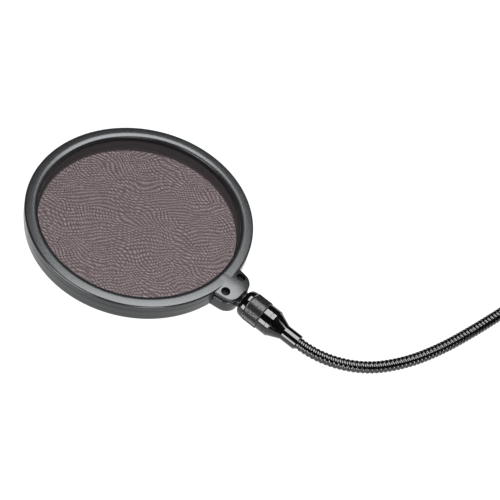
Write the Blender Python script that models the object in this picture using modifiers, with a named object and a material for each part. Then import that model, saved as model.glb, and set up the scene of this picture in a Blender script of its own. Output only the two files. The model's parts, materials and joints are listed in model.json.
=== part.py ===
"""Round double-screen pop filter on a gooseneck arm, with a clamp for a microphone stand.

The origin is the centre of the tube that the clamp grips, and +Z runs along that tube.
The arm leaves the clamp along +X, lies in the XY plane and bends clockwise to the hoop,
whose front faces +Z. Lengths are in metres, and angles in degrees until they are used.
"""

from math import cos, pi, radians, sin, tan

import bmesh
import bpy
from mathutils import Matrix, Vector

MM = 0.001
GAP = 0.3 * MM  # between pieces that touch

# Hoop: two shells that hold two nylon screens apart on a spacer ring
HOOP_R = 76.4 * MM
HOOP_FRONT_Z = 7.9 * MM
HOOP_REAR_Z = -7.2 * MM
OPENING_EDGE_Z = 6.0 * MM  # the front face rises from here, at its opening,
CROWN_R = 73.5 * MM  # to its full height here
CROWN_STEPS = 5
SCREEN_FACE_Z = 4.2 * MM  # the shells' inner faces lie this far from the screens' mid-plane
FRONT_OPENING_R = 67.75 * MM
REAR_OPENING_R = 67.1 * MM
REAR_SHELL_R = 76.0 * MM
WALL = 2.4 * MM
PARTING_Z = -1.0 * MM
REGISTER_R = HOOP_R - WALL - 0.4 * MM  # the rear shell's lip inside the front shell's wall
REGISTER_T = 1.7 * MM
REGISTER_TOP = 1.5 * MM
LIP_ROUND = 0.8 * MM  # at the rear opening
# Both shells' outer edges, as distances inward and along the hoop's axis
FRONT_ROUNDING = ((0.75 * MM, 0.0), (0.2 * MM, 0.2 * MM), (0.0, 0.75 * MM))
REAR_ROUNDING = ((0.0, 1.8 * MM), (0.55 * MM, 0.55 * MM), (1.8 * MM, 0.0))
SCREEN_R = 71.0 * MM
SCREEN_T = 0.4 * MM
SPACER_OUTER_R = 71.0 * MM
SPACER_INNER_R = 68.3 * MM
HOOP_STEPS = 72

# Boss: the tongue of both shells that clamps the stud
BOSS_END = 88.6 * MM  # from the hoop's centre
BOSS_ROOT = 74.3 * MM
BOSS_ROOT_HALF_WIDTH = 13.4 * MM
BOSS_END_HALF_WIDTH = 11.4 * MM
BOSS_CORNER_R = 6.5 * MM
BOSS_SPLIT = 2.6 * MM  # the rear shell's block ends here
BOSS_PLATE_LOW = 2.95 * MM  # and the front shell's plate starts here
BOSS_BLOCK_EXTRA = 0.5 * MM  # the block is this much wider than the plate
BOSS_EDGE = 0.9 * MM
FRONT_WALL_ROOM = 0.4 * MM  # between the block and the front shell's wall
BOSS_TOP = 7.3 * MM
SCREW_P = 79.9 * MM
SCREW_Q = 8.05 * MM
SCREW_SHANK_R = 1.5 * MM
SCREW_HOLE_R = 1.85 * MM
SCREW_HEAD_R = 2.75 * MM
SCREW_HEAD_H = 1.4 * MM
SCREW_HEAD_EDGE = 0.3 * MM
SOCKET_R = 1.5 * MM
SOCKET_DEPTH = 0.9 * MM
SCREW_SEAT = 3.75 * MM
SCREW_END = -5.0 * MM
END_ROOM = 0.4 * MM  # past the end of a screw or stud in its hole

# Studs, lock nuts and end fittings: the same at both ends of the arm
STUD_R = 6.0 * MM
THREAD_HOLE_R = STUD_R + GAP
STUD_BEYOND_NUT = 10.4 * MM
NECK = 2.4 * MM  # bare thread between the boss or the clamp and the nut
NUT_R = 9.9 * MM
NUT_NOSE_R = 6.9 * MM
NUT_LENGTH = 16.6 * MM
NUT_SHOULDER = 5.2 * MM
NUT_SHOULDER_DROP = 0.9 * MM  # below the full radius, half way along the shoulder
NUT_EDGE = 0.4 * MM
FITTING_R = 9.4 * MM
FITTING_LENGTH = 27.9 * MM
FERRULE_R = 5.2 * MM
FERRULE_LENGTH = 11.0 * MM
CONE_LENGTH = 8.2 * MM
FITTING_EDGE = 0.9 * MM
FERRULE_EDGE = 0.3 * MM
FERRULE_BORE_DEPTH = 11.9 * MM
TONGUE_HALF_T = 2.3 * MM
TONGUE_HALF_WIDTH = 10.6 * MM
TONGUE_NECK_HALF_WIDTH = 5.5 * MM
TONGUE_START = 77.3 * MM
TONGUE_NECK_START = 82.9 * MM
TURNED_STEPS = 32

# Gooseneck: equal lengths, from the clamp to the hoop, and the clockwise bend of each
GOOSENECK_R = 4.1 * MM
GOOSENECK_WALL = 2.0 * MM
SEGMENT = 30.0 * MM
SEGMENT_BENDS = (0.0, 0.0, 0.0, 0.0, 0.5, 1.0, 2.2, 6.7, 13.2, 25.6, 28.6)
SEGMENT_CUT = 1.3 * MM  # taken off each end at a joint, so that the arm can bend
SEGMENT_SPANS = 5
INSERTED = 11.4 * MM  # inside each ferrule

# Clamp: a C frame, a vee pad on its fixed jaw, and a screw with a pressure pad and a knob
FRAME_HALF_Z = 10.0 * MM
THROAT_X = (-24.0 * MM, 16.0 * MM)
THROAT_TOP = 17.0 * MM
FRAME_LOW_Y = -14.0 * MM
JAW_T = 6.5 * MM
SPINE_T = 7.0 * MM
FRAME_CORNER_R = 6.0 * MM
THROAT_CORNER_R = 4.0 * MM
FRAME_EDGE = 0.8 * MM
VEE_APEX_X = 12.6 * MM
VEE_FACE_X = 9.0 * MM
VEE_PAD_HALF_Y = 11.0 * MM
VEE_PAD_HALF_Z = 9.5 * MM
VEE_HALF_ANGLE = 60.0
VEE_PAD_EDGE = 1.0 * MM
STUD_SHANK_R = 4.0 * MM
CLAMP_SCREW_R = 4.0 * MM
CLAMP_SCREW_HOLE_R = CLAMP_SCREW_R + GAP
PAD_FACE_X = -12.0 * MM
PAD_R = 9.0 * MM
FACING_T = 1.5 * MM
PAD_T = 3.2 * MM
PAD_EDGE = 0.5 * MM
PAD_RIM = 1.6 * MM
PAD_BOSS_WALL = 2.0 * MM
FACING_INSET = 0.6 * MM
TIP_R = 3.0 * MM
TIP_LENGTH = 2.0 * MM
SCREW_OUTER_END = -72.0 * MM
KNOB_X = (-76.0 * MM, -59.0 * MM)
KNOB_R = 15.0 * MM
KNOB_LOBES = 7
KNOB_LOBE_DEPTH = 1.6 * MM
KNOB_EDGE = 1.5 * MM
KNOB_HUB_R = 8.0 * MM
KNOB_HUB_STEP = 4.0 * MM

MERGE = 0.01 * MM
FLAT = radians(0.1)

FERRULE_X = THROAT_X[1] + JAW_T + NECK + NUT_LENGTH + GAP + FITTING_LENGTH
HOOP_FROM_FERRULE = BOSS_END + NECK + NUT_LENGTH + GAP + FITTING_LENGTH
ARM_LENGTH = SEGMENT * len(SEGMENT_BENDS)


def clear_scene():
    for old in list(bpy.data.objects):
        bpy.data.objects.remove(old, do_unlink=True)


def collection(name):
    made = bpy.data.collections.new(name)
    bpy.context.scene.collection.children.link(made)
    return made


def material(name, colour, roughness, metallic=0.0):
    made = bpy.data.materials.new(name)
    made.use_nodes = True
    shader = made.node_tree.nodes["Principled BSDF"]
    shader.inputs["Base Color"].default_value = (*colour, 1.0)
    shader.inputs["Roughness"].default_value = roughness
    shader.inputs["Metallic"].default_value = metallic
    return made


def add(name, mesh, look, parent=None, matrix=None):
    """A part of the object, placed by its parent and a matrix."""
    part = bpy.data.objects.new(name, mesh)
    PARTS.objects.link(part)
    part.data.materials.clear()
    part.data.materials.append(look)
    part.parent = parent
    if matrix is not None:
        part.matrix_local = matrix
    return part


def tool(name, mesh, parent=None, matrix=None):
    """A shape that only cuts or joins another."""
    made = bpy.data.objects.new(name, mesh)
    CUTTERS.objects.link(made)
    made.parent = parent
    if matrix is not None:
        made.matrix_local = matrix
    made.hide_render = True
    made.display_type = "WIRE"
    return made


def boolean(part, other, operation):
    modifier = part.modifiers.new(operation.lower(), "BOOLEAN")
    modifier.operation = operation
    modifier.solver = "EXACT"
    modifier.object = other


def bevel(part, width, segments=2):
    modifier = part.modifiers.new("bevel", "BEVEL")
    modifier.width = width
    modifier.segments = segments
    modifier.limit_method = "ANGLE"
    modifier.angle_limit = radians(40)


def axis_empty(name, location, direction):
    """An empty whose X axis is a joint's axis or a piece's length, with Z kept upright."""
    made = bpy.data.objects.new(name, None)
    PARTS.objects.link(made)
    side = Vector((0, 0, 1)).cross(direction)
    made.matrix_world = Matrix(
        (
            (direction.x, side.x, 0, location.x),
            (direction.y, side.y, 0, location.y),
            (0, 0, 1, location.z),
            (0, 0, 0, 1),
        )
    )
    return made


def along_x(start):
    """Lays a turned shape's Z axis along its parent's X axis, from start."""
    return Matrix.Translation((start, 0, 0)) @ Matrix.Rotation(radians(90), 4, "Y")


def cylinder_mesh(name, radius, low, high, sides=24):
    mesh = bpy.data.meshes.new(name)
    work = bmesh.new()
    bmesh.ops.create_cone(
        work, cap_ends=True, segments=sides, radius1=radius, radius2=radius, depth=high - low
    )
    bmesh.ops.translate(work, verts=work.verts, vec=(0, 0, (low + high) / 2))
    work.to_mesh(mesh)
    work.free()
    return mesh


def profile_mesh(name, profile, closed):
    """A profile of (radius, height) points in the XZ plane, for a Screw modifier."""
    count = len(profile)
    edges = [(n, (n + 1) % count) for n in range(count if closed else count - 1)]
    mesh = bpy.data.meshes.new(name)
    mesh.from_pydata([(r, 0, z) for r, z in profile], edges, [])
    return mesh


def turn(part, steps):
    modifier = part.modifiers.new("turn", "SCREW")
    modifier.axis = "Z"
    modifier.angle = radians(360)
    modifier.steps = steps
    modifier.render_steps = steps
    modifier.use_merge_vertices = True
    modifier.merge_threshold = MERGE
    modifier.use_smooth_shade = True
    return part


def rounded(corners, arc_points=5):
    """An outline whose corners (x, y, radius) are rounded with arcs."""
    outline = []
    count = len(corners)
    for n, (x, y, radius) in enumerate(corners):
        here = Vector((x, y))
        if radius == 0:
            outline.append(here)
            continue
        before = (Vector(corners[n - 1][:2]) - here).normalized()
        after = (Vector(corners[(n + 1) % count][:2]) - here).normalized()
        half = before.angle(after) / 2
        start = here + before * (radius / tan(half))
        middle = here + (before + after).normalized() * (radius / sin(half))
        spoke = start - middle
        sweep = pi - 2 * half
        if before.x * after.y - before.y * after.x > 0:
            sweep = -sweep
        for k in range(arc_points + 1):
            turned = spoke.copy()
            turned.rotate(Matrix.Rotation(sweep * k / arc_points, 2))
            outline.append(middle + turned)
    return outline


def extruded_mesh(name, outline, low, high):
    """The closed mesh of a flat outline, from one height to another."""
    curve = bpy.data.curves.new(name, "CURVE")
    curve.dimensions = "2D"
    curve.fill_mode = "BOTH"
    curve.extrude = (high - low) / 2
    spline = curve.splines.new("POLY")
    spline.points.add(len(outline) - 1)
    for point, place in zip(spline.points, outline):
        point.co = (place.x, place.y, 0, 1)
    spline.use_cyclic_u = True
    return mesh_of_curve(name, curve, lift=(low + high) / 2)


def mesh_of_curve(name, curve, lift=0.0):
    """A curve's evaluated mesh with its caps welded on, and its flat faces whole."""
    holder = bpy.data.objects.new(name, curve)
    PARTS.objects.link(holder)
    bpy.context.view_layer.update()
    evaluated = holder.evaluated_get(bpy.context.evaluated_depsgraph_get())
    mesh = bpy.data.meshes.new_from_object(evaluated)
    bpy.data.objects.remove(holder)
    bpy.data.curves.remove(curve)
    work = bmesh.new()
    work.from_mesh(mesh)
    bmesh.ops.remove_doubles(work, verts=work.verts, dist=MERGE)
    bmesh.ops.dissolve_limit(work, angle_limit=FLAT, verts=work.verts, edges=work.edges)
    bmesh.ops.translate(work, verts=work.verts, vec=(0, 0, lift))
    bmesh.ops.recalc_face_normals(work, faces=work.faces)
    work.to_mesh(mesh)
    work.free()
    mesh.name = name
    return mesh


# ---- where the arm runs


def arm_at(length):
    """The point and heading (radians) of the arm's centreline, this far from the rear ferrule."""
    x, y, heading = FERRULE_X, 0.0, 0.0
    left = length
    for bend in SEGMENT_BENDS:
        run = min(left, SEGMENT)
        turned = -radians(bend) * run / SEGMENT
        if abs(turned) < 1e-9:
            x += run * cos(heading)
            y += run * sin(heading)
        else:
            radius = run / turned
            x += radius * (sin(heading + turned) - sin(heading))
            y -= radius * (cos(heading + turned) - cos(heading))
        heading += turned
        left -= run
        if left <= 0:
            break
    return Vector((x + left * cos(heading), y + left * sin(heading), 0)), heading


def direction(heading):
    return Vector((cos(heading), sin(heading), 0))


# ---- hoop


def front_shell(look, hoop):
    width = CROWN_R - FRONT_OPENING_R
    height = HOOP_FRONT_Z - OPENING_EDGE_Z
    angles = [radians(90.0) * step / CROWN_STEPS for step in range(CROWN_STEPS + 1)]
    profile = [
        *((CROWN_R - width * cos(angle), OPENING_EDGE_Z + height * sin(angle)) for angle in angles),
        *((HOOP_R - inward, HOOP_FRONT_Z - down) for inward, down in FRONT_ROUNDING),
        (HOOP_R, PARTING_Z),
        (HOOP_R - WALL, PARTING_Z),
        (HOOP_R - WALL, SCREEN_FACE_Z),
        (FRONT_OPENING_R, SCREEN_FACE_Z),
    ]
    shell = add("front_shell", profile_mesh("front_shell", profile, True), look, hoop)
    turn(shell, HOOP_STEPS)
    plate_mesh = extruded_mesh("boss_plate", boss_outline(0.0), BOSS_PLATE_LOW, BOSS_TOP)
    plate = tool("boss_plate", plate_mesh, hoop)
    bevel(plate, BOSS_EDGE)
    boolean(shell, plate, "UNION")
    for side in (-1, 1):
        cut_round(shell, hoop, side, SCREW_HEAD_R + GAP, SCREW_SEAT, 2 * HOOP_FRONT_Z)
        cut_round(shell, hoop, side, SCREW_HOLE_R, 0.0, HOOP_FRONT_Z)
    return shell


def rear_shell(look, hoop):
    inside = -SCREEN_FACE_Z
    step = PARTING_Z - GAP
    profile = [
        (REGISTER_R, REGISTER_TOP),
        (REGISTER_R, step),
        (REAR_SHELL_R, step),
        *((REAR_SHELL_R - inward, HOOP_REAR_Z + up) for inward, up in REAR_ROUNDING),
        (REAR_OPENING_R + LIP_ROUND, HOOP_REAR_Z),
        (REAR_OPENING_R, HOOP_REAR_Z + LIP_ROUND),
        (REAR_OPENING_R, inside),
        (REGISTER_R - REGISTER_T, inside),
        (REGISTER_R - REGISTER_T, REGISTER_TOP),
    ]
    shell = add("rear_shell", profile_mesh("rear_shell", profile, True), look, hoop)
    turn(shell, HOOP_STEPS)
    outline = boss_outline(BOSS_BLOCK_EXTRA)
    block_mesh = extruded_mesh("boss_block", outline, HOOP_REAR_Z, BOSS_SPLIT)
    block = tool("boss_block", block_mesh, hoop)
    bevel(block, BOSS_EDGE)
    around_front = cylinder_mesh(
        "front_wall_room", HOOP_R + FRONT_WALL_ROOM, step, HOOP_FRONT_Z, HOOP_STEPS
    )
    boolean(block, tool("front_wall_room", around_front, hoop), "DIFFERENCE")
    boolean(shell, block, "UNION")
    pocket = extruded_mesh("pocket", tongue_outline(GAP), -TONGUE_HALF_T - GAP, BOSS_TOP)
    boolean(shell, tool("pocket", pocket, hoop), "DIFFERENCE")
    for side in (-1, 1):
        cut_round(shell, hoop, side, SCREW_HOLE_R, SCREW_END - END_ROOM, 0.0)
    return shell


def cut_round(part, hoop, side, radius, low, high):
    """A round hole at one of the boss's two screws."""
    place = Matrix.Translation((SCREW_P, side * SCREW_Q, 0))
    mesh = cylinder_mesh("screw_hole", radius, low, high, 20)
    boolean(part, tool("screw_hole", mesh, hoop, place), "DIFFERENCE")


def boss_outline(extra):
    """The tongue's outline around the stud's axis, grown by extra."""
    root = BOSS_ROOT_HALF_WIDTH + extra
    end = BOSS_END_HALF_WIDTH + extra
    start = BOSS_ROOT - 2 * extra
    return rounded(
        [
            (start, -root, 0),
            (BOSS_END, -end, BOSS_CORNER_R),
            (BOSS_END, end, BOSS_CORNER_R),
            (start, root, 0),
        ]
    )


def tongue_outline(extra):
    """The stud's flat tee, grown by extra, with its neck running out of the boss."""
    wide = TONGUE_HALF_WIDTH + extra
    narrow = TONGUE_NECK_HALF_WIDTH + extra
    start = TONGUE_START - extra
    neck = TONGUE_NECK_START + extra
    end = BOSS_END + NECK / 2 + extra
    return [
        Vector(place)
        for place in (
            (start, -wide),
            (neck, -wide),
            (neck, -narrow),
            (end, -narrow),
            (end, narrow),
            (neck, narrow),
            (neck, wide),
            (start, wide),
        )
    ]


def screen(name, look, hoop, low):
    return add(name, cylinder_mesh(name, SCREEN_R, low, low + SCREEN_T, HOOP_STEPS), look, hoop)


def spacer_ring(look, hoop):
    top = SCREEN_FACE_Z - 2 * GAP - SCREEN_T
    profile = [
        (SPACER_OUTER_R, top),
        (SPACER_OUTER_R, -top),
        (SPACER_INNER_R, -top),
        (SPACER_INNER_R, top),
    ]
    ring = add("spacer_ring", profile_mesh("spacer_ring", profile, True), look, hoop)
    return turn(ring, HOOP_STEPS)


def boss_screw(name, look, hoop, side):
    head_low = SCREW_SEAT + GAP
    head_top = head_low + SCREW_HEAD_H
    profile = [
        (0, head_top),
        (SCREW_HEAD_R - SCREW_HEAD_EDGE, head_top),
        (SCREW_HEAD_R, head_top - SCREW_HEAD_EDGE),
        (SCREW_HEAD_R, head_low),
        (SCREW_SHANK_R, head_low),
        (SCREW_SHANK_R, SCREW_END),
        (0, SCREW_END),
    ]
    place = Matrix.Translation((SCREW_P, side * SCREW_Q, 0))
    screw = add(name, profile_mesh(name, profile, False), look, hoop, place)
    turn(screw, 16)
    socket = cylinder_mesh(
        "socket", SOCKET_R, head_top - SOCKET_DEPTH, head_top + SOCKET_DEPTH, 6
    )
    boolean(screw, tool("socket", socket, hoop, place), "DIFFERENCE")
    return screw


def stud_length():
    return NECK + NUT_LENGTH + GAP + STUD_BEYOND_NUT


def hoop_stud(look, hoop):
    start = BOSS_END + GAP
    neck = cylinder_mesh("hoop_stud", STUD_R, 0, stud_length() - GAP, TURNED_STEPS)
    stud = add("hoop_stud", neck, look, hoop, along_x(start))
    tongue_mesh = extruded_mesh("tongue", tongue_outline(0.0), -TONGUE_HALF_T, TONGUE_HALF_T)
    boolean(stud, tool("tongue", tongue_mesh, hoop), "UNION")
    for side in (-1, 1):
        cut_round(stud, hoop, side, SCREW_HOLE_R, -2 * TONGUE_HALF_T, 2 * TONGUE_HALF_T)
    return stud


# ---- the arm's two ends


def lock_nut(name, look, parent, start):
    """A nut from its flat face, at start along the parent's X, to its rounded nose."""
    profile = [
        (NUT_NOSE_R, NUT_LENGTH),
        (NUT_R - NUT_SHOULDER_DROP, NUT_LENGTH - NUT_SHOULDER / 2),
        (NUT_R, NUT_LENGTH - NUT_SHOULDER),
        (NUT_R, NUT_EDGE),
        (NUT_R - NUT_EDGE, 0),
        (THREAD_HOLE_R, 0),
        (THREAD_HOLE_R, NUT_LENGTH),
    ]
    nut = add(name, profile_mesh(name, profile, True), look, parent, along_x(start))
    return turn(nut, TURNED_STEPS)


def end_fitting(name, look, parent):
    """A fitting from its ferrule's mouth, at the parent's origin, to its flat threaded end."""
    thread_end = FITTING_LENGTH - STUD_BEYOND_NUT - END_ROOM
    profile = [
        (0, thread_end),
        (THREAD_HOLE_R, thread_end),
        (THREAD_HOLE_R, FITTING_LENGTH),
        (FITTING_R, FITTING_LENGTH),
        (FITTING_R, FERRULE_LENGTH + CONE_LENGTH + FITTING_EDGE),
        (FITTING_R - FITTING_EDGE, FERRULE_LENGTH + CONE_LENGTH),
        (FERRULE_R, FERRULE_LENGTH),
        (FERRULE_R, FERRULE_EDGE),
        (FERRULE_R - FERRULE_EDGE, 0),
        (GOOSENECK_R + GAP, 0),
        (GOOSENECK_R + GAP, FERRULE_BORE_DEPTH),
        (0, FERRULE_BORE_DEPTH),
    ]
    fitting = add(name, profile_mesh(name, profile, False), look, parent, along_x(0))
    return turn(fitting, TURNED_STEPS)


def gooseneck_segment(number, look):
    """One length of the hollow gooseneck, with its origin at its end nearer the clamp."""
    last = len(SEGMENT_BENDS)
    start = (number - 1) * SEGMENT + (SEGMENT_CUT if number > 1 else -INSERTED)
    end = number * SEGMENT - SEGMENT_CUT if number < last else ARM_LENGTH + INSERTED
    spans = SEGMENT_SPANS + (number in (1, last))
    origin = arm_at((number - 1) * SEGMENT)[0]
    curve = bpy.data.curves.new("gooseneck", "CURVE")
    curve.dimensions = "3D"
    curve.bevel_depth = GOOSENECK_R
    curve.bevel_resolution = 3
    spline = curve.splines.new("POLY")
    spline.points.add(spans)
    for n, point in enumerate(spline.points):
        place = arm_point(start + (end - start) * n / spans) - origin
        point.co = (*place, 1)
    name = f"gooseneck_{number:02d}"
    segment = add(name, mesh_of_curve(name, curve), look, None, Matrix.Translation(origin))
    hollow = segment.modifiers.new("hollow", "SOLIDIFY")
    hollow.thickness = GOOSENECK_WALL
    hollow.offset = -1
    return segment


def arm_point(length):
    """A point of the centreline, also on its straight continuation into the rear ferrule."""
    if length < 0:
        return arm_at(0)[0] + Vector((length, 0, 0))
    return arm_at(length)[0]


# ---- clamp


def clamp_frame(look):
    left, right = THROAT_X
    outer_left = left - JAW_T
    outer_right = right + JAW_T
    outer_top = THROAT_TOP + SPINE_T
    outline = rounded(
        [
            (outer_left, FRAME_LOW_Y, 0),
            (left, FRAME_LOW_Y, 0),
            (left, THROAT_TOP, THROAT_CORNER_R),
            (right, THROAT_TOP, THROAT_CORNER_R),
            (right, FRAME_LOW_Y, 0),
            (outer_right, FRAME_LOW_Y, 0),
            (outer_right, outer_top, FRAME_CORNER_R),
            (outer_left, outer_top, FRAME_CORNER_R),
        ],
        4,
    )
    mesh = extruded_mesh("clamp_frame", outline, -FRAME_HALF_Z, FRAME_HALF_Z)
    frame = add("clamp_frame", mesh, look)
    bevel(frame, FRAME_EDGE)
    hole = cylinder_mesh("clamp_screw_hole", CLAMP_SCREW_HOLE_R, -JAW_T, JAW_T)
    boolean(frame, tool("clamp_screw_hole", hole, None, along_x(left - JAW_T / 2)), "DIFFERENCE")
    hole = cylinder_mesh("clamp_stud_hole", STUD_SHANK_R + GAP, -JAW_T, JAW_T)
    boolean(frame, tool("clamp_stud_hole", hole, None, along_x(right + JAW_T / 2)), "DIFFERENCE")
    return frame


def clamp_stud(look):
    face = THROAT_X[1] + JAW_T + GAP
    profile = [
        (0, stud_length() - GAP),
        (STUD_R, stud_length() - GAP),
        (STUD_R, 0),
        (STUD_SHANK_R, 0),
        (STUD_SHANK_R, -JAW_T),
        (0, -JAW_T),
    ]
    stud = add("clamp_stud", profile_mesh("clamp_stud", profile, False), look, None, along_x(face))
    return turn(stud, TURNED_STEPS)


def vee_pad(look):
    """The rubber block on the fixed jaw, whose vee runs along the tube."""
    back = THROAT_X[1] - GAP
    slope = tan(radians(VEE_HALF_ANGLE))
    mouth = (VEE_APEX_X - VEE_FACE_X) * slope
    outline = rounded(
        [
            (back, -VEE_PAD_HALF_Y, 0),
            (back, VEE_PAD_HALF_Y, 0),
            (VEE_FACE_X, VEE_PAD_HALF_Y, VEE_PAD_EDGE),
            (VEE_FACE_X, mouth, 0),
            (VEE_APEX_X, 0, 0),
            (VEE_FACE_X, -mouth, 0),
            (VEE_FACE_X, -VEE_PAD_HALF_Y, VEE_PAD_EDGE),
        ],
        3,
    )
    return add("jaw_pad", extruded_mesh("jaw_pad", outline, -VEE_PAD_HALF_Z, VEE_PAD_HALF_Z), look)


def pressure_pad(look, screw_axis):
    back = PAD_FACE_X - FACING_T - GAP - PAD_T
    profile = [
        (0, PAD_T),
        (PAD_R - PAD_EDGE, PAD_T),
        (PAD_R, PAD_T - PAD_EDGE),
        (PAD_R, PAD_RIM),
        (TIP_R + GAP + PAD_BOSS_WALL, 0),
        (TIP_R + GAP, 0),
        (TIP_R + GAP, TIP_LENGTH + GAP),
        (0, TIP_LENGTH + GAP),
    ]
    pad = add(
        "pressure_pad", profile_mesh("pressure_pad", profile, False), look, screw_axis, along_x(back)
    )
    return turn(pad, 24)


def pad_facing(look, screw_axis):
    mesh = cylinder_mesh("pad_facing", PAD_R - FACING_INSET, 0, FACING_T, 24)
    return add("pad_facing", mesh, look, screw_axis, along_x(PAD_FACE_X - FACING_T))


def clamp_screw(look, screw_axis):
    shoulder = PAD_FACE_X - FACING_T - PAD_T - 2 * GAP
    profile = [
        (0, shoulder + TIP_LENGTH),
        (TIP_R, shoulder + TIP_LENGTH),
        (TIP_R, shoulder),
        (CLAMP_SCREW_R, shoulder),
        (CLAMP_SCREW_R, SCREW_OUTER_END),
        (0, SCREW_OUTER_END),
    ]
    screw = add(
        "clamp_screw", profile_mesh("clamp_screw", profile, False), look, screw_axis, along_x(0)
    )
    return turn(screw, 24)


def clamp_knob(look, screw_axis):
    outer, inner = KNOB_X
    count = KNOB_LOBES * 8
    outline = []
    for n in range(count):
        angle = 2 * pi * n / count
        radius = KNOB_R - KNOB_LOBE_DEPTH * (1 - cos(KNOB_LOBES * angle)) / 2
        outline.append(Vector((radius * cos(angle), radius * sin(angle))))
    length = inner - outer
    mesh = extruded_mesh("clamp_knob", outline, 0, length - KNOB_HUB_STEP)
    knob = add("clamp_knob", mesh, look, screw_axis, along_x(outer))
    bevel(knob, KNOB_EDGE)
    hub = cylinder_mesh("knob_hub", KNOB_HUB_R, length / 2, length)
    boolean(knob, tool("knob_hub", hub, screw_axis, along_x(outer)), "UNION")
    bore = cylinder_mesh(
        "knob_bore", CLAMP_SCREW_HOLE_R, SCREW_OUTER_END - outer - GAP, 2 * length
    )
    boolean(knob, tool("knob_bore", bore, screw_axis, along_x(outer)), "DIFFERENCE")
    return knob


def build():
    plastic = material("hoop_plastic", (0.045, 0.047, 0.05), 0.45)
    screen_nylon = material("screen_nylon", (0.03, 0.025, 0.025), 0.8)
    black_steel = material("black_steel", (0.02, 0.02, 0.022), 0.35, 1.0)
    gloss_black = material("gloss_black", (0.01, 0.01, 0.011), 0.12, 0.6)
    knurled = material("knurled_steel", (0.05, 0.05, 0.052), 0.45, 1.0)
    wound_steel = material("wound_steel", (0.015, 0.015, 0.016), 0.25, 0.8)
    painted = material("painted_casting", (0.02, 0.02, 0.02), 0.5, 0.2)
    rubber = material("pad_rubber", (0.02, 0.02, 0.02), 0.85)
    knob_plastic = material("knob_plastic", (0.02, 0.02, 0.021), 0.4)

    tip, heading = arm_at(ARM_LENGTH)
    centre = tip + direction(heading) * HOOP_FROM_FERRULE
    hoop = axis_empty("hoop_swivel_axis", centre, -direction(heading))
    front_shell(plastic, hoop)
    rear_shell(plastic, hoop)
    half = SCREEN_FACE_Z - GAP
    screen("front_screen", screen_nylon, hoop, half - SCREEN_T)
    screen("rear_screen", screen_nylon, hoop, -half)
    spacer_ring(plastic, hoop)
    boss_screw("boss_screw_left", black_steel, hoop, -1)
    boss_screw("boss_screw_right", black_steel, hoop, 1)
    hoop_stud(black_steel, hoop)

    front = axis_empty("front_fitting_axis", tip, direction(heading))
    lock_nut("hoop_lock_nut", knurled, front, FITTING_LENGTH + GAP)
    end_fitting("front_fitting", gloss_black, front)
    for number in range(1, len(SEGMENT_BENDS) + 1):
        gooseneck_segment(number, wound_steel)
    rear = axis_empty("rear_fitting_axis", Vector((FERRULE_X, 0, 0)), Vector((-1, 0, 0)))
    end_fitting("rear_fitting", gloss_black, rear)
    lock_nut("arm_lock_nut", knurled, rear, FITTING_LENGTH + GAP)

    clamp_stud(black_steel)
    clamp_frame(painted)
    vee_pad(rubber)
    screw_axis = axis_empty("clamp_screw_axis", Vector((0, 0, 0)), Vector((1, 0, 0)))
    pressure_pad(black_steel, screw_axis)
    pad_facing(rubber, screw_axis)
    clamp_screw(black_steel, screw_axis)
    clamp_knob(knob_plastic, screw_axis)


clear_scene()
PARTS = collection("pop_filter")
CUTTERS = collection("cutters")
build()
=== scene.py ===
"""The finished look of a round double-screen pop filter on a gooseneck arm, around its CAD frame.

Everything is in metres in the CAD's frame: the origin is the centre of the gripped stand tube,
+Z runs along the tube and out of the hoop's front, and the arm leaves the clamp along +X.
"""

import json
from math import cos, pi, radians, sin, tan

import bmesh
import bpy
import numpy as np
from mathutils import Matrix, Vector


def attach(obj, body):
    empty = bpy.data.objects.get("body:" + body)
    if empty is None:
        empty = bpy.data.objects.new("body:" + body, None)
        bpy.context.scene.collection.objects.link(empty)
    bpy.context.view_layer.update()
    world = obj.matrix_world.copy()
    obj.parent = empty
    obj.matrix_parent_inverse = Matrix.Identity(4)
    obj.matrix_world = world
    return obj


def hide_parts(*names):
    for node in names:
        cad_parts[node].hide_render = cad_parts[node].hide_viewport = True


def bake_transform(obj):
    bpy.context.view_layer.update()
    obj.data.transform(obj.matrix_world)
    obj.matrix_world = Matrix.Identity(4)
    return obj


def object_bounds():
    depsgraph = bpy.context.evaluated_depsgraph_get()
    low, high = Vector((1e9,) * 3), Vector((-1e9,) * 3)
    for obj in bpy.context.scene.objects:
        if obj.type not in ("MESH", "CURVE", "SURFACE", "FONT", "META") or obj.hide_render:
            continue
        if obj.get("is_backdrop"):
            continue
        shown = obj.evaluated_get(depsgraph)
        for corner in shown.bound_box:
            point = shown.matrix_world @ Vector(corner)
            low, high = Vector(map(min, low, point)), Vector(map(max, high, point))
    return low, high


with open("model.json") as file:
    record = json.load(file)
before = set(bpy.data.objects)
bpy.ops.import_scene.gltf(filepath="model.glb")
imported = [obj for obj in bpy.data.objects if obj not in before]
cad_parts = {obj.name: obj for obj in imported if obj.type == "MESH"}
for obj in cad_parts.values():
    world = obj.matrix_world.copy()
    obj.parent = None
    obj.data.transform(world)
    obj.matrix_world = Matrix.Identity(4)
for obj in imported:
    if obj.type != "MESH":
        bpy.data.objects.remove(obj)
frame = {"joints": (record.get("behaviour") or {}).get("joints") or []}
CAD_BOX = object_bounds()
JOINTS = {joint["name"]: joint for joint in frame["joints"]}

MM = 0.001
GAP = 0.3 * MM
UP = Vector((0, 0, 1))
WELD = 0.002 * MM
SLIVER = 0.001 * MM  # edges shorter than this are taken out
SHARP = 35.0  # degrees between faces from which an edge stays sharp
CARVED_SHARP = 30.0
ROUND_STEPS = 64
DISC_STEPS = 96
CUT_EDGE = 0.05 * MM  # the rim of shapes that only cut others

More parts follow.
